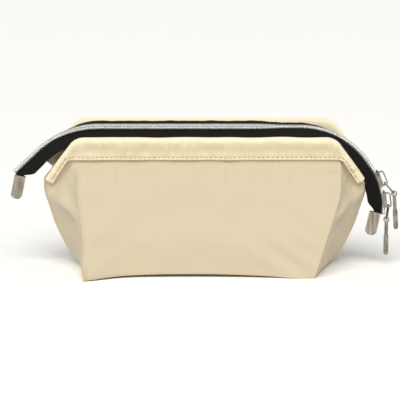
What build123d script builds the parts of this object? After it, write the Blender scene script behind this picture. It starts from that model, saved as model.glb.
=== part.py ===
from build123d import *
import math
import os

# Wire-frame zip pouch. X runs along the mouth, Y from the front to the back, Z up.
# The origin is the middle of the flat base. Sizes are millimetres.

# Cloth body: the base, the side gussets' points, and the room left under the casings
base_half_length = 75.0
base_half_depth = 45.0
base_side_point = 79.0
side_point_half_length = 108.5
side_point_height = 52.0
gusset_spread = 1.3
rim_clearance = 2.0
flap_share = 0.6
flap_top_share = 0.05
shell_thickness = 1.2
lining_thickness = 0.8
cloth_gap = 0.15

# Frames: two equal wires, each in a cloth casing that turns on a line through its two ends
frame_reach = 34.9
frame_lean = 17.5
front_hinge_y = -3.4
front_hinge_z = 56.0
back_hinge_y = 3.4
back_hinge_z = 66.0
rim_half_length = 87.0
casing_end_half_length = 108.0
casing_end_reach = 5.0
casing_end_width = 7.6
casing_band = 16.5
casing_inner_half_length = 82.0
casing_corner_radius = 12.0
casing_thickness = 5.4
casing_wall = 0.9
wire_diameter = 2.0
wire_inset = 3.0
wire_bend_radius = 9.0
wire_end_setback = 4.0
cap_wall = 0.55
cap_length = 6.0
cap_bore_depth = 4.5
wire_clearance = 0.05
stitch_length = 2.4
stitch_pitch = 3.6
stitch_width = 0.6
stitch_height = 0.4
stitch_inset = 2.2

# Zip: the chain runs flat along the mouth, then down an arc at each end
mouth_height = 95.0
right_arc_start = 64.0
right_arc_radius = 57.5
right_arc_turn = 93.0
left_arc_start = 72.0
left_arc_radius = 62.0
left_arc_turn = 43.0
left_tail_length = 21.0
coil_width = 2.9
coil_height = 2.4
coil_gap = 0.05
tail_gap = 0.75
leg_turn = 54.0
tail_turn = 62.0
tape_thickness = 0.8
tape_knee = 3.0
slider_tape_knee = 6.0
tape_end_knee = 1.4
tape_under_coil = 0.1
front_mouth_reach = 10.0
back_mouth_reach = 9.4
front_tape_drop = 5.2
back_tape_drop = -4.6
front_leg_drop = 8.0
front_leg_reach = 1.9
back_leg_drop = 0.6
back_leg_reach = 3.5
tail_tape_width = 9.6
tail_tape_spread = 1.3
tape_end_width = 5.5
left_tape_taper = 10.0
right_tape_taper = 3.0

# End clips: folded sheet metal round the tape ends
clip_width = 7.4
clip_length = 16.0
clip_wall = 0.6
clip_gap = 0.2
clip_side_gap = 0.7
clip_lean = 12.0
clip_overlap = 1.6
clip_tip_length = 2.1
clip_tip_width = 1.8
clip_tip_radius = 1.5

# Sliders and their pulls
slider_angles = (68.0, 82.6)
slider_length = 11.0
slider_plate = 0.9
slider_wall = 0.7
slider_clearance = 0.3
bottom_plate_half_width = 2.1
slider_wall_length = 9.9
slider_edge_radius = 0.27
post_length = 2.4
bridge_length = 10.4
bridge_offset = 0.7
bridge_width = 1.6
bridge_height = 3.4
bridge_bar = 0.9
bridge_corner_radius = 1.9
link_wire = 1.1
link_length = 10.2
link_radius = 2.2
bar_length = 24.6
bar_grip_length = 14.6
bar_width = 3.2
bar_neck_width = 2.4
bar_thickness = 1.4
bar_head_width = 4.2
bar_hole = 2.4
first_link_tilt = 41.0
first_bar_tilt = 4.0
second_link_tilt = -8.0
second_link_side_tilt = 10.0
link_clearance = 0.45

os.makedirs("parts", exist_ok=True)


def mix(a, b, share):
    return a + (b - a) * share


def smooth(share):
    share = min(max(share, 0.0), 1.0)
    return share * share * (3 - 2 * share)


def save(part, name):
    part.label = name
    export_step(part, f"parts/{name}.step")


# --- Cloth body ---
# Heights of the levels, with the share of the way from the base to the rim that each size has there
lean_cosine = math.cos(math.radians(frame_lean))
lean_sine = math.sin(math.radians(frame_lean))
casing_low_reach = frame_reach - casing_band
front_panel_top = (
    front_hinge_z + casing_low_reach * lean_cosine - casing_thickness / 2 * lean_sine - 2 * cloth_gap
)
back_panel_top = front_panel_top + back_hinge_z - front_hinge_z
rim_depth = back_hinge_y + casing_low_reach * lean_sine + casing_thickness / 2 * lean_cosine + rim_clearance


def level(height, front_share, back_share, corner_share, point_share):
    return {
        "z": height,
        "front": mix(base_half_depth, rim_depth, front_share),
        "back": mix(base_half_depth, rim_depth, back_share),
        "corner": mix(base_half_length, rim_half_length, corner_share),
        "point": mix(base_side_point, side_point_half_length, point_share),
    }


def body_levels(start):
    return [
        level(start, 0, 0, 0, 0),
        level(8, 0.02, 0.01, 0.14, 0.34),
        level(28, 0.15, 0.12, 0.46, 0.72),
        level(side_point_height, 0.52, 0.42, 0.9, 1),
    ]


def wall_strip(item, side, outer, inner):
    # A front (side -1) or back (side 1) wall's cut at one level, mitred at the corners
    depth = item["front"] if side < 0 else item["back"]
    corner = item["corner"]
    return [
        (-corner + outer, side * (depth - outer)),
        (corner - outer, side * (depth - outer)),
        (corner - inner, side * (depth - inner)),
        (-corner + inner, side * (depth - inner)),
    ]


def gusset_strip(item, side, outer, inner):
    # A side gusset's cut at one level: a V whose point is on the middle plane
    rows = []
    for inset in (outer, inner):
        row = [
            (side * (item["corner"] - inset), -item["front"] + inset),
            (side * (item["point"] - gusset_spread * inset), 0),
            (side * (item["corner"] - inset), item["back"] - inset),
        ]
        rows.append(row)
    return rows[0] + rows[1][::-1]


def flap_strip(item, side, face, outer, inner, share):
    # The part of the V's front or back limb that runs from the corner towards the point
    depth = item["front"] if face < 0 else item["back"]
    rows = []
    for inset in (outer, inner):
        corner = (item["corner"] - inset, depth - inset)
        point = (item["point"] - gusset_spread * inset, 0)
        end = (mix(corner[0], point[0], share), mix(corner[1], point[1], share))
        rows.append([(side * corner[0], face * corner[1]), (side * end[0], face * end[1])])
    return rows[0] + rows[1][::-1]


def cloth_wall(side, start, outer, inner, name):
    top = front_panel_top if side < 0 else back_panel_top
    levels = body_levels(start) + [level(top, 1, 1, 1, 1)]
    with BuildPart() as wall:
        for item in levels:
            with BuildSketch(Plane.XY.offset(item["z"])):
                Polygon(*wall_strip(item, side, outer, inner), align=None)
        loft(ruled=True)
    save(wall.part, name)


def cloth_gusset(side, start, outer, inner, flaps, name):
    levels = body_levels(start)
    with BuildPart() as gusset:
        for item in levels:
            with BuildSketch(Plane.XY.offset(item["z"])):
                Polygon(*gusset_strip(item, side, outer, inner), align=None)
        loft(ruled=True)
        for face, top in flaps:
            with BuildSketch(Plane.XY.offset(side_point_height)):
                Polygon(*flap_strip(levels[-1], side, face, outer, inner, flap_share), align=None)
            with BuildSketch(Plane.XY.offset(top)):
                end = level(top, 1, 1, 1, 1)
                Polygon(*flap_strip(end, side, face, outer, inner, flap_top_share), align=None)
            loft(ruled=True)
    save(gusset.part, name)


def base_sheet(start, thickness, inset, name):
    length = base_half_length - inset
    depth = base_half_depth - inset
    point = base_side_point - gusset_spread * inset
    with BuildPart() as sheet:
        with BuildSketch(Plane.XY.offset(start)):
            outline = [(-length, -depth), (length, -depth), (point, 0)]
            outline += [(length, depth), (-length, depth), (-point, 0)]
            Polygon(*outline, align=None)
        extrude(amount=thickness)
    save(sheet.part, name)


lining_outer = shell_thickness + cloth_gap
lining_inner = lining_outer + lining_thickness
gusset_flaps = ((-1, front_panel_top), (1, back_panel_top))
base_sheet(0, shell_thickness, 0, "bottom_panel")
base_sheet(shell_thickness + cloth_gap, lining_thickness, lining_inner + cloth_gap, "bottom_lining")
for side, word in ((-1, "front"), (1, "rear")):
    cloth_wall(side, shell_thickness, 0, shell_thickness, f"{word}_panel")
    cloth_wall(side, shell_thickness + cloth_gap, lining_outer, lining_inner, f"{word}_lining")
for side, word in ((-1, "left"), (1, "right")):
    cloth_gusset(side, shell_thickness, 0, shell_thickness, gusset_flaps, f"{word}_side_panel")
    cloth_gusset(side, shell_thickness + cloth_gap, lining_outer, lining_inner, (), f"{word}_lining")


# --- Wire frames ---
# Everything on a frame is drawn in its own plane: local X along the mouth, local Y up from the hinge line
def meet(first, second):
    (x1, y1), (x2, y2) = first
    (x3, y3), (x4, y4) = second
    scale = (x1 - x2) * (y3 - y4) - (y1 - y2) * (x3 - x4)
    a = x1 * y2 - y1 * x2
    b = x3 * y4 - y3 * x4
    return ((a * (x3 - x4) - (x1 - x2) * b) / scale, (a * (y3 - y4) - (y1 - y2) * b) / scale)


def shifted(line, distance):
    # The line moved to its right-hand side
    (x1, y1), (x2, y2) = line
    length = math.hypot(x2 - x1, y2 - y1)
    dx = (y2 - y1) / length * distance
    dy = -(x2 - x1) / length * distance
    return ((x1 + dx, y1 + dy), (x2 + dx, y2 + dy))


leg_line = ((rim_half_length, frame_reach), (casing_end_half_length, casing_end_reach))
leg_length = math.dist(*leg_line)
leg_direction = (
    (casing_end_half_length - rim_half_length) / leg_length,
    (casing_end_reach - frame_reach) / leg_length,
)
top_line = ((0, frame_reach), (rim_half_length, frame_reach))
inner_end = (
    casing_end_half_length + leg_direction[1] * casing_end_width,
    casing_end_reach - leg_direction[0] * casing_end_width,
)
inner_corner = (casing_inner_half_length, frame_reach - casing_band)
inner_top_line = (inner_corner, (0, inner_corner[1]))
inner_leg_line = (inner_end, inner_corner)
end_line = (leg_line[1], inner_end)


def casing_outline(inset, end_shift):
    # Right half from the mouth's middle round the end and back, then the mirrored left half
    top = shifted(top_line, inset)
    leg = shifted(leg_line, inset)
    end = shifted(end_line, end_shift)
    inner_leg = shifted(inner_leg_line, inset)
    inner_top = shifted(inner_top_line, inset)
    half = [meet(top, leg), meet(leg, end), meet(end, inner_leg), meet(inner_leg, inner_top)]
    return half + [(-x, y) for x, y in half[::-1]]


def frame_plane(side):
    lean = math.radians(frame_lean)
    hinge = (front_hinge_y, front_hinge_z) if side < 0 else (back_hinge_y, back_hinge_z)
    up = Vector(0, side * math.sin(lean), math.cos(lean))
    return Plane(origin=(0, *hinge), x_dir=(1, 0, 0), z_dir=Vector(1, 0, 0).cross(up))


wire_leg = shifted(leg_line, wire_inset)
wire_corner = meet(shifted(top_line, wire_inset), wire_leg)
wire_end = (
    wire_leg[1][0] - leg_direction[0] * wire_end_setback,
    wire_leg[1][1] - leg_direction[1] * wire_end_setback,
)


def wire_casing(side, name):
    plane = frame_plane(side)
    with BuildPart() as casing:
        with BuildSketch(plane) as outline:
            Polygon(*casing_outline(0, 0), align=None)
            fillet(outline.vertices().group_by(Axis.Y)[-1], casing_corner_radius)
        extrude(amount=casing_thickness / 2, both=True)
        with BuildSketch(plane) as cavity:
            Polygon(*casing_outline(casing_wall, -1), align=None)
            fillet(cavity.vertices().group_by(Axis.Y)[-1], casing_corner_radius - casing_wall)
        extrude(amount=casing_thickness / 2 - casing_wall, both=True, mode=Mode.SUBTRACT)
    save(casing.part, name)


def frame_wire(side, name):
    plane = frame_plane(side)
    points = [(-wire_end[0], wire_end[1]), (-wire_corner[0], wire_corner[1]), wire_corner, wire_end]
    with BuildPart() as wire:
        with BuildLine(plane) as route:
            FilletPolyline(*points, radius=wire_bend_radius)
        start = route.line @ 0
        with BuildSketch(Plane(origin=start, z_dir=route.line % 0)):
            Circle(wire_diameter / 2)
        sweep()
    save(wire.part, name)


def wire_end_caps(side, name):
    plane = frame_plane(side)
    with BuildPart() as caps:
        for hand in (-1, 1):
            outward = Vector(hand * leg_direction[0], leg_direction[1], 0)
            tip = Vector(hand * wire_end[0], wire_end[1], 0)
            direction = plane.from_local_coords(outward) - plane.origin
            mouth = plane.from_local_coords(tip - outward * cap_bore_depth)
            with BuildSketch(Plane(origin=mouth, z_dir=direction)):
                Circle(wire_diameter / 2 + wire_clearance + cap_wall)
            extrude(amount=cap_length)
            with BuildSketch(Plane(origin=mouth, z_dir=direction)):
                Circle(wire_diameter / 2 + wire_clearance)
            extrude(amount=cap_bore_depth, mode=Mode.SUBTRACT)
    save(caps.part, name)


def casing_stitching(side, name):
    plane = frame_plane(side)
    outside = 1 if side < 0 else -1
    face = plane.offset(outside * casing_thickness / 2)
    corner = meet(shifted(inner_leg_line, stitch_inset), shifted(inner_top_line, stitch_inset))
    end = shifted(inner_leg_line, stitch_inset)[0]
    leg = math.dist(corner, end)
    leg_angle = math.degrees(math.atan2(end[1] - corner[1], end[0] - corner[0]))
    top_count = int(2 * corner[0] / stitch_pitch) - 1
    leg_count = int(leg / stitch_pitch) - 1
    with BuildPart() as stitching:
        with BuildSketch(face):
            with Locations((0, corner[1])):
                with GridLocations(stitch_pitch, 0, top_count, 1):
                    Rectangle(stitch_length, stitch_width)
            for index in range(leg_count):
                along = (index + 1) * stitch_pitch / leg
                x = mix(corner[0], end[0], along)
                y = mix(corner[1], end[1], along)
                with Locations(Location((x, y), leg_angle), Location((-x, y), -leg_angle)):
                    Rectangle(stitch_length, stitch_width)
        extrude(amount=outside * stitch_height)
    save(stitching.part, name)


for side, word in ((-1, "front"), (1, "rear")):
    wire_casing(side, f"{word}_wire_casing")
    frame_wire(side, f"{word}_frame_wire")
    wire_end_caps(side, f"{word}_wire_end_caps")
    casing_stitching(side, f"{word}_casing_stitching")


# --- Zip ---
# A station is a cut across the zip: its point on the chain, the way the chain runs, and the tape's state
right_arc_middle = mouth_height - right_arc_radius
left_arc_middle = mouth_height - left_arc_radius


def right_station(turn):
    angle = math.radians(turn)
    return {
        "point": (
            right_arc_start + right_arc_radius * math.sin(angle),
            right_arc_middle + right_arc_radius * math.cos(angle),
        ),
        "turn": turn,
        "to_end": math.radians(right_arc_turn - turn) * right_arc_radius,
    }


def left_station(turn):
    angle = math.radians(turn)
    return {
        "point": (
            -left_arc_start - left_arc_radius * math.sin(angle),
            left_arc_middle + left_arc_radius * math.cos(angle),
        ),
        "turn": -turn,
        "to_end": math.radians(left_arc_turn - turn) * left_arc_radius + left_tail_length,
    }


def left_tail_station(distance):
    angle = math.radians(left_arc_turn)
    corner = left_station(left_arc_turn)["point"]
    return {
        "point": (corner[0] - distance * math.cos(angle), corner[1] - distance * math.sin(angle)),
        "turn": -left_arc_turn,
        "to_end": left_tail_length - distance,
    }


def section_plane(station):
    angle = math.radians(station["turn"])
    x, z = station["point"]
    return Plane(origin=(x, 0, z), x_dir=(0, 1, 0), z_dir=(math.cos(angle), 0, -math.sin(angle)))


def chain_turn(station):
    # Degrees round either arc, counted on past the left arc's end as if it went on
    if station["turn"] >= 0:
        return station["turn"]
    return left_arc_turn - math.degrees((station["to_end"] - left_tail_length) / left_arc_radius)


def leg_share(station):
    # 0 along the mouth, 1 beside the casing legs
    return smooth(chain_turn(station) / leg_turn)


def tail_share(station):
    # 1 where the two tapes hang together past the casing ends
    return smooth((chain_turn(station) - leg_turn) / (tail_turn - leg_turn))


def row_gap(station):
    return mix(coil_gap, tail_gap, smooth((station["turn"] - leg_turn) / (tail_turn - leg_turn)))


def coil_section(station, side):
    gap = row_gap(station)
    low = -coil_height / 2
    high = coil_height / 2
    far = gap + coil_width
    return [(side * gap, low), (side * far, low), (side * far, high), (side * gap, high)]


tape_edges = {
    -1: (front_tape_drop, front_mouth_reach, front_leg_drop, front_leg_reach),
    1: (back_tape_drop, back_mouth_reach, back_leg_drop, back_leg_reach),
}


def tape_section(station, side):
    mouth_drop, mouth_reach, leg_drop, leg_reach = tape_edges[side]
    leg = leg_share(station)
    drop = mix(mix(mouth_drop, leg_drop, leg), tail_tape_width, tail_share(station))
    reach = mix(mix(mouth_reach, leg_reach, leg), tail_tape_spread, tail_share(station))
    taper = right_tape_taper if station["turn"] > 0 else left_tape_taper
    left = smooth((station["to_end"] - clip_overlap) / taper)
    end_drop = mix(tape_end_width, drop, left)
    first = -coil_height / 2 - tape_under_coil
    knee = mix(tape_knee, slider_tape_knee, smooth((station["turn"] - leg_turn) / (tail_turn - leg_turn)))
    knee = mix(tape_end_knee, knee, left)
    edge = (reach, -end_drop)
    first_line = shifted(((0, first), (knee, first)), tape_thickness)
    second_line = shifted(((knee, first), edge), tape_thickness)
    inside = meet(first_line, second_line)
    gap = row_gap(station)
    points = [(gap, first), (knee, first), edge]
    points += [second_line[1], inside, (gap, first - tape_thickness)]
    return [(side * y, n) for y, n in points]


right_turns = [0, 8, 16, 24, 32, 40, 46, 50, 54, 58, 62, 68, 74, 80, 84, 88.4, 89.8, 91.4]
right_turns.append(right_arc_turn)
left_turns = [40, 32, 24, 16, 8, 0]
stations = [left_tail_station(d) for d in (left_tail_length, 19.4, 14, 7)]
stations += [left_station(turn) for turn in [left_arc_turn] + left_turns]
stations += [right_station(turn) for turn in right_turns]


def along_zip(section, side, name):
    with BuildPart() as strip:
        for station in stations:
            with BuildSketch(section_plane(station)):
                Polygon(*section(station, side), align=None)
        loft(ruled=True)
    save(strip.part, name)


for side, word in ((-1, "front"), (1, "rear")):
    along_zip(coil_section, side, f"{word}_zip_coil")
    along_zip(tape_section, side, f"{word}_zip_tape")


# --- End clips ---
def end_clip(station, hand, name):
    # hand is -1 at the left end and 1 at the right, and the fold is on the side away from the coil
    angle = math.radians(station["turn"])
    inward = (-math.sin(angle), -math.cos(angle))
    middle = coil_height / 2 + clip_side_gap + clip_width / 2
    x = station["point"][0] + inward[0] * middle
    z = station["point"][1] + inward[1] * middle
    down = Vector(-math.sin(math.radians(clip_lean)), 0, -math.cos(math.radians(clip_lean)))
    plane = Plane(origin=(x, 0, z), x_dir=down, z_dir=(0, 1, 0))
    half_depth = tail_tape_spread + clip_gap + clip_wall
    with BuildPart() as clip:
        with BuildSketch(plane) as outline:
            with Locations((clip_length / 2 - clip_overlap, 0)):
                Rectangle(clip_length, clip_width)
            tip = outline.vertices().group_by(Axis.X)[-1]
            chamfer(tip, clip_tip_length, clip_tip_width)
            fillet(outline.vertices().group_by(Axis.X)[-1], clip_tip_radius)
        extrude(amount=half_depth, both=True)
        with BuildSketch(plane):
            with Locations((clip_length / 2 - clip_overlap - clip_wall * 2, -hand * clip_wall)):
                Rectangle(clip_length, clip_width)
        extrude(amount=half_depth - clip_wall, both=True, mode=Mode.SUBTRACT)
    save(clip.part, name)


end_clip(left_tail_station(left_tail_length), -1, "left_end_clip")
end_clip(right_station(right_arc_turn), 1, "right_end_clip")


# --- Sliders and pulls ---
def slider_plane(turn):
    # Local X down the chain, local Y out of its face, local Z to the front
    angle = math.radians(turn)
    x, z = right_station(turn)["point"]
    return Plane(origin=(x, 0, z), x_dir=(math.cos(angle), 0, -math.sin(angle)), z_dir=(0, -1, 0))


top_plate_low = coil_height / 2 + slider_clearance
slider_half_width = tail_gap + coil_width + slider_clearance + slider_wall
bottom_plate_high = -coil_height / 2 - tape_under_coil - tape_thickness - 2 * slider_clearance
bridge_low = top_plate_low + slider_plate


def slider(turn, name):
    plane = slider_plane(turn)
    with BuildPart() as body:
        with BuildSketch(plane):
            with Locations((0, top_plate_low + slider_plate / 2)):
                RectangleRounded(slider_length, slider_plate, slider_edge_radius)
        extrude(amount=slider_half_width, both=True)
        for hand in (-1, 1):
            with BuildSketch(plane.offset(hand * slider_half_width)):
                with Locations((0, top_plate_low / 2)):
                    Rectangle(slider_wall_length, top_plate_low + slider_plate)
            extrude(amount=-hand * slider_wall)
        with BuildSketch(plane):
            with Locations((0, bottom_plate_high - slider_plate / 2)):
                RectangleRounded(slider_length, slider_plate, slider_edge_radius)
        extrude(amount=bottom_plate_half_width, both=True)
        with BuildSketch(plane):
            with Locations((0, (top_plate_low + bottom_plate_high) / 2)):
                Rectangle(post_length, top_plate_low - bottom_plate_high + slider_plate)
        extrude(amount=tail_gap - slider_clearance / 2, both=True)
        with BuildSketch(plane) as bridge:
            with Locations((bridge_offset, bridge_low + bridge_height / 2)):
                Rectangle(bridge_length, bridge_height)
            fillet(bridge.vertices().group_by(Axis.Y)[-1], bridge_corner_radius)
            with Locations((bridge_offset, bridge_low + (bridge_height - bridge_bar) / 2)):
                slot = (bridge_length - 2 * bridge_bar, bridge_height - bridge_bar)
                Rectangle(*slot, mode=Mode.SUBTRACT)
        extrude(amount=bridge_width / 2, both=True)
    save(body.part, name)


def hanging(tilt, side_tilt):
    # A unit direction: straight down, tilted out along X and then to the front
    a = math.radians(tilt)
    b = math.radians(side_tilt)
    return Vector(math.sin(a) * math.cos(b), -math.sin(b), -math.cos(a) * math.cos(b))


def link_top(turn):
    plane = slider_plane(turn)
    along = bridge_offset + bridge_length / 2 - bridge_bar - link_wire / 2 - link_clearance
    out = bridge_low + (bridge_height - bridge_bar) / 2
    return plane.from_local_coords(Vector(along, out, 0))


def pull_plane(origin, direction):
    across = Vector(0, 1, 0) - direction * direction.Y
    return Plane(origin=origin, x_dir=across, z_dir=across.cross(direction * -1))


def pull_link(origin, direction, name):
    plane = pull_plane(origin, direction)
    with BuildPart() as link:
        with BuildLine(plane) as route:
            top = CenterArc((0, -link_radius), link_radius, 0, 180)
            low = -link_length + link_radius
            bottom = CenterArc((0, low), link_radius, 180, 180)
            Line(top @ 1, bottom @ 0)
            Line(bottom @ 1, top @ 0)
        with BuildSketch(Plane(origin=top @ 0, z_dir=top % 0)):
            Circle(link_wire / 2)
        sweep(path=route.wires()[0])
    save(link.part, name)


def pull_bar(origin, direction, name):
    plane = pull_plane(origin, direction)
    # The hole runs along the link's wire, so the bar is drawn from the side
    side_view = Plane(origin=origin, x_dir=plane.z_dir, z_dir=plane.x_dir)
    upright = 1 if side_view.y_dir.dot(plane.y_dir) > 0 else -1
    grip_middle = bar_length - bar_grip_length / 2
    with BuildPart() as bar:
        with BuildSketch(side_view):
            Circle(bar_head_width / 2)
            with Locations((0, -upright * grip_middle / 2)):
                Rectangle(bar_neck_width, grip_middle)
            with Locations((0, -upright * grip_middle)):
                SlotOverall(bar_grip_length, bar_width, rotation=90)
            Circle(bar_hole / 2, mode=Mode.SUBTRACT)
        extrude(amount=bar_thickness / 2, both=True)
    save(bar.part, name)


pulls = (
    (hanging(first_link_tilt, 0), hanging(first_bar_tilt, 0)),
    (hanging(second_link_tilt, second_link_side_tilt), hanging(0, 0)),
)
for index, (turn, (link_way, bar_way)) in enumerate(zip(slider_angles, pulls), 1):
    slider(turn, f"slider_{index}_body")
    origin = link_top(turn)
    pull_link(origin, link_way, f"slider_{index}_link")
    pull_bar(origin + link_way * link_length, bar_way, f"slider_{index}_bar")
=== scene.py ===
import math
import bpy
import numpy as np
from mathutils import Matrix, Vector


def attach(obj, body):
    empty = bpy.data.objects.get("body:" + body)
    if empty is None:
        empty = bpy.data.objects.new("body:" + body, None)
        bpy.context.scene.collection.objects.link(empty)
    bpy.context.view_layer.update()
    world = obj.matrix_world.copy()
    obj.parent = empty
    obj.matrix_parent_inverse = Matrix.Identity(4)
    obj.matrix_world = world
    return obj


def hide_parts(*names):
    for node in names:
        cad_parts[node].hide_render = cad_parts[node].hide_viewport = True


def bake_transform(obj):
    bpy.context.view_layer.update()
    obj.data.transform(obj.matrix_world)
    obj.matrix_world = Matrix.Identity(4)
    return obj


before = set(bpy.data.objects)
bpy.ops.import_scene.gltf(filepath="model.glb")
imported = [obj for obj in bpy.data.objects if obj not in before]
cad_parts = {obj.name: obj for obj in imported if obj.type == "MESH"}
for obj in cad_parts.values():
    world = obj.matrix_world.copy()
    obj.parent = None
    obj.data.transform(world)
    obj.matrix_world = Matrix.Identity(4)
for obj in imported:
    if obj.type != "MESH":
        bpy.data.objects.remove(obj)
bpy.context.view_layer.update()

print("wire-frame zip pouch: frame loaded")

# Lengths below are millimetres unless a name says otherwise; meshes are written in metres.
# A piece on a frame is drawn in that frame's plane: u along the mouth, v up from the hinge line, w outwards.


def mix(a, b, share):
    # straight line from a to b
    return a + (b - a) * share


def smooth(share):
    # 3t^2 - 2t^3 on t clipped to 0..1
    t = np.clip(share, 0.0, 1.0)
    return t * t * (3 - 2 * t)


def bump(value, centre, width):
    # exp(-((value - centre) / width)^2)
    return np.exp(-(((value - centre) / width) ** 2))


def ripple(along, waves, seed):
    # sum over the wavelengths of sin(2 pi along / wave + phase), scaled back to about -1..1
    total = np.zeros_like(along)
    for index, wave in enumerate(waves):
        total = total + np.sin(2 * np.pi * along / wave + seed * 2.39 + index * 1.71)
    return total / len(waves) ** 0.7


def fixedNoise(a, b, seed, scale):
    # value noise: seeded random heights on a square lattice of the given size, joined by 3t^2 - 2t^3
    rng = np.random.default_rng(seed)
    table = rng.uniform(-1, 1, (64, 64))
    x, y = np.broadcast_arrays(a / scale + 17.3, b / scale + 9.1)
    i = np.floor(x).astype(int)
    j = np.floor(y).astype(int)
    fx = smooth(x - i)
    fy = smooth(y - j)
    low = mix(table[i % 64, j % 64], table[(i + 1) % 64, j % 64], fx)
    high = mix(table[i % 64, (j + 1) % 64], table[(i + 1) % 64, (j + 1) % 64], fx)
    return mix(low, high, fy)


def normalsOf(points):
    # cross product of the two grid directions, made unit length
    du = np.gradient(points, axis=0)
    dv = np.gradient(points, axis=1)
    n = np.cross(du, dv)
    return n / np.maximum(np.linalg.norm(n, axis=2, keepdims=True), 1e-9)


def runLengths(points, axis):
    # distance walked over the grid along one of its directions
    step = np.linalg.norm(np.diff(points, axis=axis), axis=2)
    walked = np.cumsum(step, axis=axis)
    return np.concatenate([np.zeros_like(np.take(walked, [0], axis=axis)), walked], axis=axis)


def writeMesh(name, points, quads, uvs, material, sharp=50.0):
    # the form is closed: where its signed volume, a sum of v0 . (v1 x v2), is negative, the faces turn round
    verts = points / 1000.0
    a, b, c, d = (verts[quads[:, k]] for k in range(4))
    volume = np.einsum("ij,ij->", a, np.cross(b, c) + np.cross(c, d))
    if volume < 0:
        quads = quads[:, ::-1]
        uvs = uvs[:, ::-1]
    mesh = bpy.data.meshes.new(name)
    mesh.from_pydata(verts.tolist(), [], quads.tolist())
    layer = mesh.uv_layers.new(name="clothRun")
    layer.data.foreach_set("uv", (uvs.reshape(-1, 2) / 1000.0).astype(np.float32).ravel())
    mesh.materials.append(material)
    mesh.shade_smooth()
    mesh.set_sharp_from_angle(angle=math.radians(sharp))
    mesh.validate()
    piece = bpy.data.objects.new(name, mesh)
    bpy.context.scene.collection.objects.link(piece)
    return piece


def gridQuads(n, m, start=0, wrap=False):
    # corner numbers of every cell of an n by m grid
    i, j = np.meshgrid(np.arange(n - 1), np.arange(m if wrap else m - 1), indexing="ij")
    k = (j + 1) % m
    cells = np.stack([i * m + j, i * m + k, (i + 1) * m + k, (i + 1) * m + j], axis=-1)
    return cells.reshape(-1, 4) + start


def sheetMesh(name, outer, inner, material, sharp=50.0):
    # two grids joined by strips round their four edges; UV is the distance walked along and across
    n, m = outer.shape[:2]
    count = n * m
    faces = gridQuads(n, m)
    back = faces[:, ::-1] + count
    along = np.arange(n - 1)
    across = np.arange(m - 1)
    rims = []
    for first, second in ((along * m, (along + 1) * m), ((along + 1) * m + m - 1, along * m + m - 1)):
        rims.append(np.stack([first, second, second + count, first + count], axis=-1))
    for first, second in ((across + 1, across), ((n - 1) * m + across, (n - 1) * m + across + 1)):
        rims.append(np.stack([first, second, second + count, first + count], axis=-1))
    quads = np.concatenate([faces, back] + rims)
    run = np.stack([runLengths(outer, 0), runLengths(outer, 1)], axis=-1).reshape(-1, 2)
    run = np.concatenate([run, run])
    points = np.concatenate([outer.reshape(-1, 3), inner.reshape(-1, 3)])
    return writeMesh(name, points, quads, run[quads], material, sharp)


def tubeMesh(name, rings, material, sharp=50.0):
    # rings joined round and along, each end drawn to its middle; UV is the distance along and round
    n, m = rings.shape[:2]
    ends = np.stack([rings[0].mean(0), rings[-1].mean(0)])
    points = np.concatenate([rings.reshape(-1, 3), ends])
    quads = gridQuads(n, m, 0, True)
    walked = runLengths(rings, 0).mean(1)
    girth = np.linalg.norm(np.roll(rings[n // 2], -1, 0) - rings[n // 2], axis=1).sum()
    i, j = np.meshgrid(np.arange(n - 1), np.arange(m), indexing="ij")
    u = np.stack([walked[i], walked[i], walked[i + 1], walked[i + 1]], axis=-1)
    v = np.stack([j, j + 1, j + 1, j], axis=-1) / m * girth
    uvs = np.stack([u, v], axis=-1).reshape(-1, 4, 2)
    halves = np.arange(0, m, 2)
    ahead, further = (halves + 1) % m, (halves + 2) % m
    last = (n - 1) * m
    startCap = np.stack([np.full(len(halves), n * m), further, ahead, halves], axis=-1)
    endCap = np.stack([np.full(len(halves), n * m + 1), last + halves, last + ahead, last + further],
                      axis=-1)
    caps = np.concatenate([startCap, endCap])
    quads = np.concatenate([quads, caps])
    uvs = np.concatenate([uvs, np.zeros((len(caps), 4, 2))])
    return writeMesh(name, points, quads, uvs, material, sharp)


def hexLinear(code, alpha=1.0):
    # sRGB hex to linear light: c / 12.92 below 0.04045, else ((c + 0.055) / 1.055)^2.4
    values = [int(code[k : k + 2], 16) / 255 for k in (0, 2, 4)]
    return tuple(c / 12.92 if c <= 0.04045 else ((c + 0.055) / 1.055) ** 2.4 for c in values) + (alpha,)


def addNode(tree, kind, settings=None, links=None):
    # one node with its settings (a property, or an input's value) and its incoming links
    node = tree.nodes.new(kind)
    for key, value in (settings or {}).items():
        if isinstance(key, str) and hasattr(node, key):
            setattr(node, key, value)
        else:
            node.inputs[key].default_value = value
    for key, (source, output) in (links or {}).items():
        tree.links.new(source.outputs[output], node.inputs[key])
    return node


def startMaterial(name, settings):
    material = bpy.data.materials.new(name)
    material.use_nodes = True
    tree = material.node_tree
    tree.nodes.clear()
    shader = addNode(tree, "ShaderNodeBsdfPrincipled", settings)
    addNode(tree, "ShaderNodeOutputMaterial", {}, {"Surface": (shader, "BSDF")})
    return material, tree, shader


def colourRamp(tree, source, output, stops):
    ramp = addNode(tree, "ShaderNodeValToRGB", {}, {"Fac": (source, output)})
    while len(ramp.color_ramp.elements) < len(stops):
        ramp.color_ramp.elements.new(0.5)
    for element, (place, colour) in zip(ramp.color_ramp.elements, stops):
        element.position = place
        element.color = hexLinear(colour)
    return ramp


# millimetres: real threads lie about 0.25 apart, too fine to show, so the weave is drawn at 0.6
clothGrain = {"threadPitch": 0.6, "mottleSize": 38.5, "fleckSize": 1.11}


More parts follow.
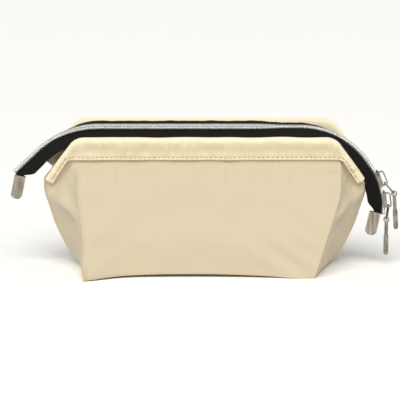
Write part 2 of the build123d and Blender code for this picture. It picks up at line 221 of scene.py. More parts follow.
def wovenCloth(name, light, dark, relief, roughness, sheen, mottle):
    # plain weave: two sets of threads crossing over and under, product of two waves, with a soft mottle
    material, tree, shader = startMaterial(name, {"Roughness": roughness, "Sheen Weight": sheen,
                                                  "Sheen Roughness": 0.5, "Specular IOR Level": 0.3})
    where = addNode(tree, "ShaderNodeUVMap", {"uv_map": "clothRun"})
    # a wave texture repeats every 2 pi / 20 of its scaled length
    scale = 2 * math.pi / 20 / (clothGrain["threadPitch"] / 1000)
    warp, weft = (addNode(tree, "ShaderNodeTexWave",
                          {"wave_type": "BANDS", "bands_direction": way, "Scale": scale,
                           "Distortion": 0.6, "Detail": 1.0}, {"Vector": (where, "UV")}) for way in "XY")
    weave = addNode(tree, "ShaderNodeMath", {"operation": "MULTIPLY"},
                    {0: (warp, "Fac"), 1: (weft, "Fac")})
    place = addNode(tree, "ShaderNodeTexCoord")
    cloud = addNode(tree, "ShaderNodeTexNoise",
                    {"Scale": 1000.0 / clothGrain["mottleSize"], "Detail": 5.0, "Roughness": 0.6},
                    {"Vector": (place, "Object")})
    fleck = addNode(tree, "ShaderNodeTexNoise", {"Scale": 1000.0 / clothGrain["fleckSize"], "Detail": 2.0},
                    {"Vector": (place, "Object")})
    blend = addNode(tree, "ShaderNodeMath", {"operation": "MULTIPLY_ADD", 1: mottle},
                    {0: (cloud, "Fac"), 2: (weave, "Value")})
    spread = addNode(tree, "ShaderNodeMath", {"operation": "MULTIPLY", 1: 0.62}, {0: (blend, "Value")})
    ramp = colourRamp(tree, spread, "Value", [(0.05, dark), (0.8, light)])
    tree.links.new(ramp.outputs["Color"], shader.inputs["Base Color"])
    height = addNode(tree, "ShaderNodeMath", {"operation": "MULTIPLY_ADD", 1: 0.5},
                     {0: (fleck, "Fac"), 2: (weave, "Value")})
    raised = addNode(tree, "ShaderNodeBump", {"Strength": relief, "Distance": 0.0002},
                     {"Height": (height, "Value")})
    tree.links.new(raised.outputs["Normal"], shader.inputs["Normal"])
    return material


# Matte nylon oxford, woven and dyed: a soft, dull cream with a barely visible square weave.
shellNylon = wovenCloth("wovenNylonOxford", "cec1a9", "bfb193", 0.25, 0.78, 0.2, 0.35)
# The same cloth folded double round the wire, given a paler copy of its colour: painted light on the band,
# which catches more light than the walls.
casingNylonPaintedLight = wovenCloth("wovenNylonOxfordCasingPaintedLight", "f5e8cc", "e4d5b3", 0.25, 0.76, 0.2, 0.3)
# Polyester taffeta, woven and calendered: thinner, smoother and a little glossier.
liningTaffeta = wovenCloth("calenderedPolyesterTaffeta", "d8c7a0", "c6b48c", 0.2, 0.55, 0.15, 0.3)


# millimetres: real tape ribs lie about 0.5 apart and are drawn at 0.9 so that they show
tapeGrain = {"column": 1.6, "ribPitch": 0.9}


def zipTapeCloth():
    # Polyester herringbone tape, woven and dyed black: dull, with slanted ribs that change side.
    material, tree, shader = startMaterial("wovenPolyesterTape", {"Roughness": 0.82, "Sheen Weight": 0.03,
                                                                  "Specular IOR Level": 0.15})
    where = addNode(tree, "ShaderNodeUVMap", {"uv_map": "clothRun"})
    parts = addNode(tree, "ShaderNodeSeparateXYZ", {}, {"Vector": (where, "UV")})
    fold = addNode(tree, "ShaderNodeMath", {"operation": "PINGPONG", 1: tapeGrain["column"] / 1000},
                   {0: (parts, "Y")})
    slant = addNode(tree, "ShaderNodeMath", {"operation": "ADD"}, {0: (parts, "X"), 1: (fold, "Value")})
    rib = addNode(tree, "ShaderNodeMath",
                  {"operation": "MULTIPLY", 1: 2 * math.pi / (tapeGrain["ribPitch"] / 1000)},
                  {0: (slant, "Value")})
    wave = addNode(tree, "ShaderNodeMath", {"operation": "SINE"}, {0: (rib, "Value")})
    level = addNode(tree, "ShaderNodeMath", {"operation": "MULTIPLY_ADD", 1: 0.5, 2: 0.5},
                    {0: (wave, "Value")})
    ramp = colourRamp(tree, level, "Value", [(0.0, "090808"), (1.0, "171413")])
    tree.links.new(ramp.outputs["Color"], shader.inputs["Base Color"])
    relief = addNode(tree, "ShaderNodeBump", {"Strength": 0.5, "Distance": 0.0002},
                     {"Height": (level, "Value")})
    tree.links.new(relief.outputs["Normal"], shader.inputs["Normal"])
    return material


def metalFinish(name, pale, deep, roughness, grain, streak):
    # one noise, its marks grain millimetres across and streak times as long upwards, for colour and relief
    material, tree, shader = startMaterial(name, {"Metallic": 1.0, "Roughness": roughness})
    place = addNode(tree, "ShaderNodeTexCoord")
    stretch = addNode(tree, "ShaderNodeMapping", {"Scale": (1.0, 1.0, 1.0 / streak)},
                      {"Vector": (place, "Object")})
    cloud = addNode(tree, "ShaderNodeTexNoise", {"Scale": 1000.0 / grain, "Detail": 4.0},
                    {"Vector": (stretch, "Vector")})
    ramp = colourRamp(tree, cloud, "Fac", [(0.3, deep), (0.7, pale)])
    tree.links.new(ramp.outputs["Color"], shader.inputs["Base Color"])
    relief = addNode(tree, "ShaderNodeBump", {"Strength": 0.12, "Distance": 0.0001},
                     {"Height": (cloud, "Fac")})
    tree.links.new(relief.outputs["Normal"], shader.inputs["Normal"])
    return material


def plasticFinish(name, pale, deep, metallic, roughness, size):
    # a noise with marks size millimetres across, for colour and relief
    material, tree, shader = startMaterial(name, {"Metallic": metallic, "Roughness": roughness})
    place = addNode(tree, "ShaderNodeTexCoord")
    cloud = addNode(tree, "ShaderNodeTexNoise", {"Scale": 1000.0 / size, "Detail": 3.0},
                    {"Vector": (place, "Object")})
    ramp = colourRamp(tree, cloud, "Fac", [(0.3, deep), (0.7, pale)])
    tree.links.new(ramp.outputs["Color"], shader.inputs["Base Color"])
    relief = addNode(tree, "ShaderNodeBump", {"Strength": 0.08, "Distance": 0.0001},
                     {"Height": (cloud, "Fac")})
    tree.links.new(relief.outputs["Normal"], shader.inputs["Normal"])
    return material


tapeWeave = zipTapeCloth()
# Nylon coil, vacuum metallised: bright silver with soft highlights on each turn.
coilSilver = plasticFinish("metallisedNylonCoil", "dededb", "b2b2af", 0.6, 0.32, 1.5)
# Zinc alloy, die cast, polished and nickel plated: mirror-like and slightly warm; its colour is darkened well
# below bright nickel as painted shade for the dark surroundings it would reflect.
castNickel = metalFinish("nickelPlatedZinc", "a9a697", "6d6a5c", 0.2, 3.85, 1.5)
# Steel strip, folded, nickel plated and brushed: soft vertical streaks; its colour is darker than bright
# nickel as painted shade for the darker surroundings it would reflect.
sheetNickel = metalFinish("brushedNickelSheet", "c2b8a8", "857c6e", 0.26, 2.38, 9.0)
# Spring steel wire, drawn: grey with fine lines along it.
drawnSteel = metalFinish("drawnSpringSteel", "a5a6a8", "85868a", 0.3, 2.0, 4.0)
# Polythene cap, moulded: milky white with a dull skin.
mouldedCap = plasticFinish("mouldedPolythene", "ecebe6", "dedcd4", 0.0, 0.45, 2.0)
# Spun polyester thread, browner than the casing it is sewn on, and darker than it as painted shade of the
# stitch holes: matt, slightly fuzzy.
threadPaintedShade = plasticFinish("spunPolyesterThreadPaintedShade", "d3bd8e", "b79e6e", 0.0, 0.85, 0.6)

for word, finish in (("frame_wire", drawnSteel), ("wire_end_caps", mouldedCap),
                     ("slider_", castNickel), ("end_clip", sheetNickel)):
    for name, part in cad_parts.items():
        if word in name:
            part.data.materials.clear()
            part.data.materials.append(finish)
print("materials made")


# the walls follow these sizes too
casing = {
    "reach": 34.9,
    "lean": math.radians(17.5),
    "hinge": {-1: (-3.4, 56.0), 1: (3.4, 66.0)},
    "rimHalf": 87.0,
    "endHalf": 108.0,
    "endReach": 5.0,
    "endWidth": 6.6,
    "band": 16.5,
    "innerHalf": 92.0,
    "cornerRadius": 12.0,
    "rollRadius": 2.7,
    "edgeHalf": 0.6,
    "rollFall": 8.5,
    "pucker": 0.95,
    "stitchInset": 2.2,
    "stitchPitch": 3.2,
}


shell = {
    "levels": np.array([0.0, 8.0, 28.0, 52.0]),
    "cornerShares": np.array([0.0, 0.14, 0.46, 0.9, 1.0]),
    "pointShares": np.array([0.0, 0.34, 0.72, 1.0, 1.0]),
    "frontShares": np.array([0.0, 0.02, 0.15, 0.52, 1.0]),
    "backShares": np.array([0.0, 0.01, 0.12, 0.42, 1.0]),
    "cornerHalf": {-1: (77.5, 85.0), 1: (71.5, 91.5)},
    "pointHalf": (84.0, 109.5),
    "depth": (45.0, 13.5),
    "frontTop": 76.5,
    "backTop": 86.5,
    "pointTop": 60.0,
    "tuck": 12.0,
    "tipReach": 9.5,
    "thickness": 1.2,
    "liningInset": 1.65,
    "liningThickness": 0.6,
    "baseLining": (2.5, 1.35, 0.8),  # inset, height over the floor, thickness
    "gatherDepth": 0.95,
    "dent": 3.2,
}


def eased(z, levels, shares):
    # smooth curve through the level values: the straight join, averaged over +-5 mm of height
    total = 0
    for shift in (-5.0, -2.5, 0.0, 2.5, 5.0):
        total = total + np.interp(z + shift, levels, shares)
    ends = np.interp(z, levels, shares)
    keep = smooth(np.minimum(z, levels[-1] - z) / 5.0)
    return mix(ends, total / 5, keep)


def shellSizes(z, side, hand):
    # corner half length, side point half length and half depth at height z, on the left or the right
    top = shell["frontTop"] if side < 0 else shell["backTop"]
    levels = np.append(shell["levels"], top)
    depthShares = shell["frontShares"] if side < 0 else shell["backShares"]
    corner = mix(*shell["cornerHalf"][hand], eased(z, levels, shell["cornerShares"]))
    point = mix(*shell["pointHalf"], eased(z, levels, shell["pointShares"]))
    depth = mix(*shell["depth"], eased(z, levels, depthShares))
    return corner, point, depth


def tucked(y, z, top, side):
    # near its top edge the cloth turns in behind the casing's hem, along the frame's plane
    y0, z0 = casing["hinge"][side]
    behind = abs(y0) + (z - z0) * math.tan(casing["lean"]) - 0.3
    return mix(y, behind, smooth((z - top + shell["tuck"]) / (shell["tuck"] - 3.0)))


def wallGrid(side, inset, n=260, m=150):
    # x = across * corner(z), y = side * depth(z), moved by dents and gathers along Y
    top = shell["frontTop"] if side < 0 else shell["backTop"]
    across = np.linspace(-1, 1, n)[:, None]
    rise = np.linspace(0, 1, m)[None, :]
    z = rise * top + 0 * across
    left, _, depth = shellSizes(z, side, -1)
    right, _, _ = shellSizes(z, side, 1)
    x = np.where(across < 0, across * (left - inset), across * (right - inset))
    # lower edge lifts and draws back between the base corners
    low = 1 - smooth(z / 26.0)
    lift = (1 - np.abs(across + 0.12) ** 2.2).clip(0, 1) * low
    y = depth - inset - 4.0 * lift
    z = z + 2.2 * lift
    # the middle of the wall sinks in a little between the seams, more towards one side
    belly = (1 - across**4) * np.sin(np.pi * np.clip(rise * 1.04, 0, 1)) ** 1.2
    y = y - shell["dent"] * belly * (0.75 + 0.25 * np.cos(2.2 * across + 0.6))
    # gathers under the casing, short and sharp, dying away downwards
    gather = ripple(x, (9.0, 6.1, 14.7), 1.0 + side) * smooth((z - top + 30) / 26.0)
    fold = fixedNoise(x, z * 0.25, 5 + side, 7.0)
    calm = 1 - np.abs(across) ** 10  # folds die away at the corner seams
    y = y + calm * shell["gatherDepth"] * (0.55 * gather + 0.75 * fold * smooth((z - top + 34) / 30.0))
    # long soft drag lines towards the lower corners
    slant = x * 0.55 + z * 0.83
    drag = ripple(slant, (13.0, 23.0, 37.0), 2.0) * bump(z, 22, 22) * smooth((across - 0.1) / 0.7)
    slantLeft = -x * 0.5 + z * 0.86
    dragLeft = ripple(slantLeft, (21.0, 34.0), 3.4) * bump(z, 20, 18) * smooth((-across - 0.35) / 0.5)
    y = y + calm * (1.5 * drag + 1.1 * dragLeft)
    y = y + calm * 0.9 * fixedNoise(x, z, 11 + side, 16.0) * np.sin(np.pi * rise)
    # the sewn corners stand out as a soft ridge
    y = y + 0.9 * bump(np.abs(across), 1.0, 0.015) * smooth(z / 10)
    y = tucked(y, z, top, side)
    # the left front corner of the base sticks out towards the front
    tip = shell["tipReach"] * bump(across, -1.0, 0.22) * (1 - smooth(z / 24.0)) * (side < 0)
    return np.stack([x - 0.2 * tip, side * (y + tip), z], axis=-1)


def gussetGrid(side, hand, inset, n=90, m=120):
    # straight from the corner (q = 0) to the side point on the middle plane (q = 1), up to a falling top
    # edge, then pushed out square to that line by a ridge, a sink and crumples
    wallTop = shell["frontTop"] if side < 0 else shell["backTop"]
    q = np.linspace(0, 1, n)[:, None]
    rise = np.linspace(0, 1, m)[None, :]
    # the top edge runs 3 mm behind the casing's hem, down its leg, then across to the side point
    topWalk = mix(shell["cornerHalf"][hand][1], shell["pointHalf"][1], q)
    legTop = wallTop - 15.5
    topEdge = np.interp(topWalk, [casing["innerHalf"], 102.5, shell["pointHalf"][1]],
                        [wallTop, legTop, shell["pointTop"]])
    z = rise * topEdge
    corner, point, depth = shellSizes(z, side, hand)
    x = mix(corner - inset, point - 1.3 * inset, q)
    y = mix(depth - inset, 0.0, q)
    # the cloth between seam and point sinks in, with one diagonal fold that stands proud
    length = np.hypot(point - corner, depth)
    nx = depth / length
    ny = (point - corner) / length
    sink = np.sin(np.pi * q) * smooth(z / 14.0) * 2.6
    ridge = 3.6 * bump(z - mix(38.0, 50.0, q), 0.0, 5.5) * np.sin(np.pi * np.clip(q * 0.9 + 0.06, 0, 1))
    crumple = fixedNoise(q * 26, z * 0.7, 23 + side + 2 * hand, 8.0)
    crumple = 1.2 * crumple * np.sin(np.pi * q) * smooth(z / 8.0)
    drag = 0.6 * ripple(z * 0.7 - q * 22, (13.0, 19.0), 1.3 * hand) * np.sin(np.pi * q) * smooth(z / 10.0)
    out = ridge - sink + crumple + drag
    x = x + out * nx
    y = np.maximum(y + out * ny, 0.0)
    hidden = tucked(y, z, topEdge, side)
    y = mix(hidden, y, smooth((q - 0.8) / 0.2))
    y = y * smooth((1 - q) / 0.04 + 0.0 * z)
    tip = shell["tipReach"] * bump(q, 0.0, 0.4) * (1 - smooth(z / 24.0)) * (side < 0) * (hand < 0)
    return np.stack([hand * (x + 0.2 * tip), side * (y + tip), z], axis=-1)


def inwards(grid, side, thickness):
    # offset along the grid normal, on the side that faces the middle of the pouch
    n = normalsOf(grid)
    middle = np.array([0.0, 0.0, 40.0])
    turn = np.sign(np.einsum("ijk,ijk->ij", n, grid - middle).mean())
    moved = grid - n * turn * thickness
    moved[..., 2] = np.maximum(moved[..., 2], 0.05)  # nothing goes under the base
    return moved


def baseGrid(inset, height, n=80, m=60):
    # x = u * (corner + (point - corner)(1 - |v|)), y = v * half depth, z follows the lifted long edges
    u = np.linspace(-1, 1, n)[:, None]
    v = np.linspace(-1, 1, m)[None, :]
    corner = np.where(u < 0, shell["cornerHalf"][-1][0], shell["cornerHalf"][1][0]) - inset
    x = u * mix(shell["pointHalf"][0] - inset, corner, np.abs(v))
    lift = (1 - np.abs(u + 0.12) ** 2.2).clip(0, 1) * smooth((np.abs(v) - 0.4) / 0.6)
    y = v * (shell["depth"][0] - inset - 4.0 * lift)
    z = height + 2.2 * lift + 0 * x
    tip = shell["tipReach"] * bump(u, -1.0, 0.22) * smooth((-v - 0.3) / 0.7)
    return np.stack([x - 0.2 * tip, y - tip, z], axis=-1)


frameOf = {-1: "front_frame", 1: "rear_frame"}
wordOf = {-1: "front", 1: "rear"}
handOf = {-1: "left", 1: "right"}


def finishCloth(piece, nodes):
    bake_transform(piece)
    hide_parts(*nodes)


for side in (-1, 1):
    word = wordOf[side]
    outer = wallGrid(side, 0.0)
    panel = sheetMesh(f"{word}Wall", outer, inwards(outer, side, shell["thickness"]), shellNylon)
    finishCloth(panel, [f"{word}_panel"])
    outer = inwards(wallGrid(side, 0.0, 120, 70), side, shell["liningInset"])
    lining = sheetMesh(f"{word}WallLining", outer,
                       inwards(outer, side, shell["liningThickness"]), liningTaffeta)
    finishCloth(lining, [f"{word}_lining"])
    for hand in (-1, 1):
        outer = gussetGrid(side, hand, 0.0)
        gusset = sheetMesh(f"{handOf[hand]}Gusset_{word}", outer,
                           inwards(outer, side, shell["thickness"]), shellNylon)
        finishCloth(gusset, [f"{handOf[hand]}_side_panel"])
        outer = inwards(gussetGrid(side, hand, 0.0, 50, 60), side, shell["liningInset"])
        lining = sheetMesh(f"{handOf[hand]}GussetLining_{word}", outer,
                           inwards(outer, side, shell["liningThickness"]), liningTaffeta)
        finishCloth(lining, [f"{handOf[hand]}_lining"])

liningFit = shell["baseLining"]
for name, inset, height, thickness, cloth, node, slot in (
        ("basePanel", 0.0, 0.0, shell["thickness"], shellNylon, "bottom_panel", "shell_cloth"),
        ("baseLining", *liningFit, liningTaffeta, "bottom_lining", "lining_cloth")):
    base = baseGrid(inset, height)
    piece = sheetMesh(name, base, base + np.array([0, 0, thickness]), cloth)
    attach(piece, "pouch_body")
    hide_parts(node)
print("shell and linings sewn")


def onFrame(u, v, w, side):
    # frame plane to the pouch's axes: up leans outwards by the lean, w is square to it
    y0, z0 = casing["hinge"][side]
    s, c = math.sin(casing["lean"]), math.cos(casing["lean"])
    return np.stack([u, y0 + side * (v * s + w * c), z0 + v * c - w * s], axis=-1)


def casingRails(count):
    # the outer and the inner edge, walked together from the left leg's end to the right leg's
    leg = np.array([casing["endHalf"] - casing["rimHalf"], casing["endReach"] - casing["reach"]])
    leg = leg / np.linalg.norm(leg)
    bend = math.acos(leg[0])
    cut = casing["cornerRadius"] * math.tan(bend / 2)
    turn = np.linspace(0, bend, 14)
    centre = np.array([casing["rimHalf"] - cut, casing["reach"] - casing["cornerRadius"]])
    arc = centre + casing["cornerRadius"] * np.stack([np.sin(turn), np.cos(turn)], axis=-1)
    end = np.array([casing["endHalf"], casing["endReach"]])
    innerEnd = end + casing["endWidth"] * np.array([leg[1], -leg[0]])
    innerCorner = np.array([casing["innerHalf"], casing["reach"] - casing["band"]])
    # the hem's corner faces the point of the leg that lies square across from it
    square = end - leg * np.dot(end - innerCorner, leg)
    share = np.linspace(0, 1, len(arc))[:, None]
    near = mix(np.array([arc[0, 0], innerCorner[1]]), innerCorner - np.array([3.5, 0.0]), share)
    outer = np.concatenate([[[0.0, casing["reach"]]], arc, [square, end]])
    inner = np.concatenate([[[0.0, innerCorner[1]]], near, [innerCorner, innerEnd]])
    flip = np.array([-1.0, 1.0])
    outer = np.concatenate([outer[::-1] * flip, outer[1:]])
    inner = np.concatenate([inner[::-1] * flip, inner[1:]])
    walked = np.append(0, np.cumsum(np.linalg.norm(np.diff(outer, axis=0), axis=1)))
    s = np.linspace(0, walked[-1], count)
    outer, inner = (np.stack([np.interp(s, walked, edge[:, k]) for k in (0, 1)], axis=-1)
                    for edge in (outer, inner))
    return s, outer, inner


def casingWidth(d, length):
    # half thickness at distance d from the lower edge: a thin hem that swells into a roll round the wire
    fromTop = length - d
    fall = smooth((fromTop - casing["rollRadius"]) / casing["rollFall"])
    half = mix(casing["rollRadius"], casing["edgeHalf"], fall)
    top = np.sqrt(np.clip(casing["rollRadius"] ** 2 - (casing["rollRadius"] - fromTop).clip(0) ** 2, 0, None))
    hem = np.sqrt(np.clip(casing["edgeHalf"] ** 2 - (casing["edgeHalf"] - d).clip(0) ** 2, 0, None))
    half = np.where(fromTop < casing["rollRadius"], np.minimum(half, top), half)
    return np.where(d < casing["edgeHalf"], np.minimum(half, hem), half)


def casingSurface(s, outer, inner, share, face, side):
    # straight from the lower (share 0) to the upper edge, pushed out by the half thickness on the outside
    # (face 1) or in on the inside (face -1), plus tucks and long waves
    length = np.linalg.norm(outer - inner, axis=1)[:, None]
    d = share * length
    place = inner[:, None, :] + (outer - inner)[:, None, :] * (d / length)[..., None]
    half = casingWidth(d, length)
    run = s[:, None] + 0 * d
    # short folds that lean with the cloth and fade towards the roll and the hem
    slanted = run + 1.6 * fixedNoise(run, d, 43 + side, 9.0)
    tuck = 0.3 * ripple(slanted, (7.3, 4.9, 11.9), 2.0 * side)
    tuck = tuck + 0.75 * fixedNoise(slanted, d * 0.55, 41 + side, 4.6)
    tuck = tuck * casing["pucker"] * np.sin(np.pi * np.clip(d / length * 0.98, 0, 1)) ** 0.8
    lower = 0.35 * (1 - smooth(d / 5.0)) - 0.45 * bump(d, casing["stitchInset"], 0.7)
    tuck = np.where(length - d < 5.5, tuck.clip(-0.5, 0.6), tuck)  # the cloth can't sink into the wire
    w = face * half + tuck * (0.6 + 0.4 * face) + lower + 0.35 * fixedNoise(run, d * 0.5, 47 + side, 13.0)
    wave = 0.22 * ripple(run, (31.0, 53.0), 0.7 * side) * smooth(share)
    return onFrame(place[..., 0], place[..., 1] + wave, w, side)


def casingRings(side, count=620, around=22):
    # outside face upwards then inside face downwards, with each end folded 6.5 mm into the tube
    s, outer, inner = casingRails(count)
    bend = 0.5 - 0.5 * np.cos(np.linspace(0, np.pi, around))
    front = casingSurface(s, outer, inner, bend[None, :], 1, side)
    back = casingSurface(s, outer, inner, bend[None, ::-1], -1, side)
    rings = np.concatenate([front[:, :-1], back[:, :-1]], axis=1)
    folded = []
    for edge, step in ((0, 1), (-1, -1)):
        rim = rings[edge]
        middle = rim.mean(0)
        inside = rings[edge + step * 9].mean(0) - middle
        reach = inside / np.linalg.norm(inside)
        rows = [middle + (rim - middle) * shrink + reach * depth
                for shrink, depth in ((0.94, -0.25), (0.84, 0.0), (0.8, 0.8), (0.74, 5.0), (0.5, 6.5))]
        folded.append(np.stack(rows))
    return np.concatenate([folded[0][::-1], rings, folded[1]])


def stitchMesh(name, side):
    # short sewn loops, 2.2 mm long, one at each pitch along the hem: an eight-sided thread whose
    # height is an arch, 0.3 (1 - t^2)
    s, outer, inner = casingRails(900)
    length = np.linalg.norm(outer - inner, axis=1)
    share = (casing["stitchInset"] / length)[:, None]
    line = casingSurface(s, outer, inner, share, 1, side)[:, 0]
    along = np.append(0, np.cumsum(np.linalg.norm(np.diff(line, axis=0), axis=1)))
    middles = np.arange(4.0, along[-1] - 4.0, casing["stitchPitch"])
    spot = np.stack([np.interp(middles, along, line[:, k]) for k in range(3)], axis=-1)
    ahead = np.stack([np.interp(middles + 0.5, along, line[:, k]) for k in range(3)], axis=-1) - spot
    ahead = ahead / np.linalg.norm(ahead, axis=1, keepdims=True)
    out = np.array([0.0, side * math.cos(casing["lean"]), -math.sin(casing["lean"])])
    over = np.cross(ahead, out)
    t = np.linspace(-1, 1, 7)
    turn = np.linspace(0, 2 * np.pi, 8, endpoint=False)
    thin = np.sqrt(1 - (t * 0.97) ** 2) ** 0.6
    a = (t * 1.1)[:, None] + 0 * turn[None]
    b = 0.36 * thin[:, None] * np.cos(turn)[None]
    c = 0.3 * thin[:, None] * np.sin(turn)[None] + (0.3 * (1 - t**2))[:, None]
    loops = (spot[:, None, None] + a[None, ..., None] * ahead[:, None, None]
             + b[None, ..., None] * over[:, None, None] + c[None, ..., None] * out)
    count, n, m = loops.shape[:3]
    one = gridQuads(n, m, 0, True)
    lids = []
    for row, flip in ((0, 1), (n - 1, -1)):
        first = row * m
        lid = np.array([[first, first + 1, first + 2, first + 3], [first, first + 3, first + 4, first + 7],
                        [first + 4, first + 5, first + 6, first + 7]])
        lids.append(lid[:, ::-1] if flip > 0 else lid)
    one = np.concatenate([one] + lids)
    quads = (one[None] + (np.arange(count) * n * m)[:, None, None]).reshape(-1, 4)
    points = loops.reshape(-1, 3)
    # the thread's darker colour carries painted shade of the stitch holes
    return writeMesh(name, points, quads, points[quads][..., :2], threadPaintedShade)


for side in (-1, 1):
    word = wordOf[side]
    # the casing's paler colour is painted light on the band
    tube = tubeMesh(f"{word}WireCasing", casingRings(side), casingNylonPaintedLight)
    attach(tube, frameOf[side])
    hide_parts(f"{word}_wire_casing")
    sewn = stitchMesh(f"{word}Stitching", side)
    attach(sewn, frameOf[side])
    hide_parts(f"{word}_casing_stitching")
print("casings turned over the wires and stitched")


zipSizes = {
    "mouthHeight": 95.0,
    "rightStart": 64.0,
    "rightRadius": 57.5,
    "rightTurn": 93.0,
    "leftStart": 72.0,
    "leftRadius": 62.0,
    "leftTurn": 43.0,
    "leftTail": 21.0,
    "coilWidth": 2.9,
    "coilHeight": 2.4,
    "coilGap": 0.05,
    "tailGap": 0.75,
    "legTurn": 54.0,
    "tailTurn": 62.0,
    "ribPitch": 1.45,
    "ribDepth": 0.5,
    "tapeThickness": 0.55,
    "edges": {-1: (7.0, 12.0, 9.5, 6.2), 1: (-2.3, 12.5, 4.2, 6.3)},
    "faceTilt": 24.0,
    "tailWidth": 9.6,
    "tailSpread": 1.3,
    "endWidth": 5.5,
    "clipOverlap": 1.6,
}
tailEnd = zipSizes["leftTail"]
leftEnd = tailEnd + math.radians(zipSizes["leftTurn"]) * zipSizes["leftRadius"]
mouthEnd = leftEnd + zipSizes["leftStart"] + zipSizes["rightStart"]
chainEnd = mouthEnd + math.radians(zipSizes["rightTurn"]) * zipSizes["rightRadius"]
chainMiddle = leftEnd + zipSizes["leftStart"]


def chainAt(s):
    # straight tail, arc down to the left, straight mouth, arc down to the right: gives the place, the
    # turn, the distance to the nearer end and the degrees walked down the arc
    leftTurn = np.clip((leftEnd - s) / zipSizes["leftRadius"], 0, math.radians(zipSizes["leftTurn"]))
    rightTurn = np.clip((s - mouthEnd) / zipSizes["rightRadius"], 0, None)
    turn = np.where(s < leftEnd, -leftTurn, rightTurn)
    beyond = np.clip(tailEnd - s, 0, None)
    lowLeft = zipSizes["mouthHeight"] - zipSizes["leftRadius"]
    lowRight = zipSizes["mouthHeight"] - zipSizes["rightRadius"]
    xLeft = -zipSizes["leftStart"] - zipSizes["leftRadius"] * np.sin(leftTurn) - beyond * np.cos(leftTurn)
    zLeft = lowLeft + zipSizes["leftRadius"] * np.cos(leftTurn) - beyond * np.sin(leftTurn)
    xRight = zipSizes["rightStart"] + zipSizes["rightRadius"] * np.sin(rightTurn)
    zRight = lowRight + zipSizes["rightRadius"] * np.cos(rightTurn)
    x = np.where(s < leftEnd, xLeft, np.where(s > mouthEnd, xRight, s - chainMiddle))
    z = np.where(s < leftEnd, zLeft, np.where(s > mouthEnd, zRight, zipSizes["mouthHeight"]))
    toEnd = np.where(s < chainMiddle, s, chainEnd - s)
    counted = np.degrees(np.where(s < leftEnd, (leftEnd - s) / zipSizes["leftRadius"], rightTurn))
    return x, z, turn, toEnd, counted


def onChain(s, y, n):
    # y across the zip and n out of its face, turned to the front along the mouth, set at the chain's place
    # and turn
    x, z, turn, _, counted = chainAt(s)
    shape = (slice(None),) + (None,) * (y.ndim - 1)
    level = np.where(s < chainMiddle, 1 - smooth((counted - 4) / 34), 1 - smooth((x - 32) / 24))
    tilt = math.radians(zipSizes["faceTilt"]) * level[shape] * bump(y, 0.0, 9.0)
    y, n = y * np.cos(tilt) - n * np.sin(tilt), n * np.cos(tilt) + y * np.sin(tilt)
    return np.stack([x[shape] + n * np.sin(turn)[shape], y, z[shape] + n * np.cos(turn)[shape]], axis=-1)


def gapAt(s):
    # the two rows part a little on the right-hand tail, where the sliders' posts run
    _, _, turn, _, _ = chainAt(s)
    share = (np.degrees(turn) - zipSizes["legTurn"]) / (zipSizes["tailTurn"] - zipSizes["legTurn"])
    return mix(zipSizes["coilGap"], zipSizes["tailGap"], smooth(share))


def coilRings(side, start, end, around=18):
    # a rounded-square cut whose size swings with the sine of a phase that advances along and round, so
    # that the ribs slant
    s = np.append(np.arange(start, end, zipSizes["ribPitch"] / 7), end)
    turn = np.linspace(0, 2 * np.pi, around, endpoint=False)[None]
    phase = 2 * np.pi * s[:, None] / zipSizes["ribPitch"] + side * 1.15 * np.cos(turn)
    rib = np.abs(np.sin(phase / 2)) ** 0.7
    halfWidth = zipSizes["coilWidth"] / 2
    halfHeight = zipSizes["coilHeight"] / 2
    swell = 1 - zipSizes["ribDepth"] * (1 - rib)
    oval = (np.abs(np.cos(turn)) ** 2.6 + np.abs(np.sin(turn)) ** 2.6) ** (-1 / 2.6)
    across = halfWidth * oval * np.cos(turn) * mix(1, swell, 0.45)
    y = side * (gapAt(s)[:, None] + halfWidth + across)
    n = halfHeight * oval * np.sin(turn) * swell
    return onChain(s, y, n)


def tapeGrid(side, start, end, across=26):
    # flat under the coil, a quadratic curve round the knee, then straight to the edge that is sewn in or
    # hangs free
    s = np.linspace(start, end, int((end - start) / 0.8))
    _, _, turn, toEnd, counted = chainAt(s)
    mouthDrop, mouthReach, legDrop, legReach = zipSizes["edges"][side]
    leg = smooth(counted / zipSizes["legTurn"])
    toTail = zipSizes["tailTurn"] - zipSizes["legTurn"]
    tail = smooth((counted - zipSizes["legTurn"]) / toTail)
    drop = mix(mix(mouthDrop, legDrop, leg), zipSizes["tailWidth"], tail)
    reach = mix(mix(mouthReach, legReach, leg), zipSizes["tailSpread"], tail)
    taper = np.where(turn > 0, 9.0, 10.0)
    left = smooth((toEnd - zipSizes["clipOverlap"]) / taper)
    drop = mix(zipSizes["endWidth"], drop, left)
    first = -zipSizes["coilHeight"] / 2 - 0.1
    opened = smooth((np.degrees(turn) - zipSizes["legTurn"]) / toTail)
    knee = mix(1.4, mix(3.0, 6.0, opened), left)
    begin = np.stack([gapAt(s), np.full_like(s, first)], axis=-1)
    bend = np.stack([knee, np.full_like(s, first)], axis=-1)
    edge = np.stack([reach, -drop], axis=-1)
    soft = mix(bend, begin, 0.35)
    after = mix(bend, edge, 0.3)
    t = np.linspace(0, 1, across)
    a = t[None, :, None]
    begin, soft, bend, after, edge = (place[:, None] for place in (begin, soft, bend, after, edge))
    k = (a - 0.2) / 0.35
    knuckle = mix(mix(soft, bend, k), mix(bend, after, k), k)
    cut = np.where(a < 0.2, mix(begin, soft, a / 0.2),
                   np.where(a < 0.55, knuckle, mix(after, edge, (a - 0.55) / 0.45)))
    slack = 0.1 * ripple(s, (9.0, 15.0, 27.0), 0.9 * side)[:, None] * smooth(t - 0.3)[None] * 2
    rise = cut[..., 1] + slack * (1 - opened[:, None])
    thick = zipSizes["tapeThickness"]
    top = onChain(s, side * cut[..., 0], rise)
    low = onChain(s, side * (cut[..., 0] - 0.3 * thick * t[None]), rise - thick)
    return top, low
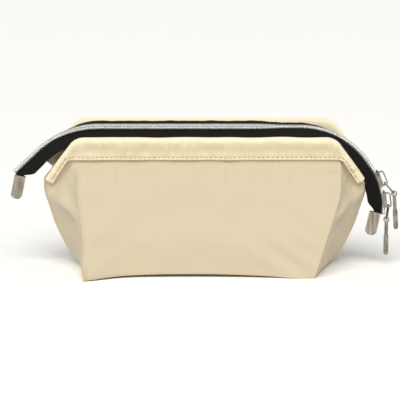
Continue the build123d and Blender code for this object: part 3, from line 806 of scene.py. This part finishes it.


# metres: two places along x for each half of the zip, taken in by the loop below but not used
bendRight = ((0.112, 0, 0), (0.092, 0, 0))
bendLeft = ((-0.112, 0, 0), (-0.092, 0, 0))
for side in (-1, 1):
    word = wordOf[side]
    for hand, (start, end), (first, last) in (("left", (0.3, chainMiddle), bendLeft),
                                              ("right", (chainMiddle, chainEnd - 0.3), bendRight)):
        top, low = tapeGrid(side, start, end)
        tape = sheetMesh(f"{word}ZipTape_{hand}", top, low, tapeWeave)
        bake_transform(tape)
        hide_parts(f"{word}_zip_tape")
        coil = tubeMesh(f"{word}ZipCoil_{hand}", coilRings(side, start, end), coilSilver, 80.0)
        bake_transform(coil)
        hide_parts(f"{word}_zip_coil")
print("zip tapes and coils made")


studio = {
    "target": (-0.0034, 0.0, 0.0446),
    "distance": 1.0,
    "elevation": 10.0,
    "lens": 132.0,
    "paper": "fbfaf7",
    "sunStrength": 2.7,
    "sunHeight": 50.0,
    "sunTurn": -6.0,
    "sunSpread": 50.0,
    "room": 0.38,
}
cameraData = bpy.data.cameras.new("camera")
cameraData.lens = studio["lens"]
cameraData.sensor_width = 36.0
cameraData.clip_start = 0.01
camera = bpy.data.objects.new("camera", cameraData)
tilt = math.radians(studio["elevation"])
target = Vector(studio["target"])
camera.location = target + Vector((0, -math.cos(tilt), math.sin(tilt))) * studio["distance"]
camera.rotation_euler = (math.pi / 2 - tilt, 0, 0)
bpy.context.scene.collection.objects.link(camera)
bpy.context.scene.camera = camera

# Matt paper, pressed: a flat, dull, faintly uneven white floor, 12 m across, with grain 3.33 mm wide
paper, paperTree, paperShader = startMaterial("mattStudioPaper",
                                              {"Roughness": 0.9, "Specular IOR Level": 0.1})
paperPlace = addNode(paperTree, "ShaderNodeTexCoord")
paperGrain = addNode(paperTree, "ShaderNodeTexNoise", {"Scale": 1000.0 / 3.33},
                     {"Vector": (paperPlace, "Object")})
paperRamp = colourRamp(paperTree, paperGrain, "Fac", [(0.3, "f7f6f3"), (0.7, studio["paper"])])
paperTree.links.new(paperRamp.outputs["Color"], paperShader.inputs["Base Color"])
bpy.ops.mesh.primitive_plane_add(size=12.0, location=(0, 0, 0))
floor = bpy.context.object
floor.name = "floor"
floor.data.materials.append(paper)

world = bpy.data.worlds.new("softRoom")
bpy.context.scene.world = world
world.use_nodes = True
world.node_tree.nodes["Background"].inputs["Color"].default_value = (1, 1, 1, 1)
world.node_tree.nodes["Background"].inputs["Strength"].default_value = studio["room"]


def areaLight(name, place, aim, size, power):
    data = bpy.data.lights.new(name, "AREA")
    data.size = size
    data.energy = power
    light = bpy.data.objects.new(name, data)
    light.location = place
    light.rotation_euler = (Vector(aim) - Vector(place)).to_track_quat("-Z", "Y").to_euler()
    bpy.context.scene.collection.objects.link(light)


areaLight("leftSoftbox", (-0.8, -0.7, 0.9), (0, 0, 0.05), 0.5, 1.2)
areaLight("rightSoftbox", (0.9, -0.3, 0.6), (0, 0, 0.05), 0.3, 0.5)
sunData = bpy.data.lights.new("window", "SUN")
sunData.energy = studio["sunStrength"]
sunData.angle = math.radians(studio["sunSpread"])
sun = bpy.data.objects.new("window", sunData)
sun.rotation_euler = (math.radians(90.0 - studio["sunHeight"]), 0, math.radians(studio["sunTurn"]))
bpy.context.scene.collection.objects.link(sun)
bpy.context.scene.view_settings.view_transform = "Standard"
print("studio set")
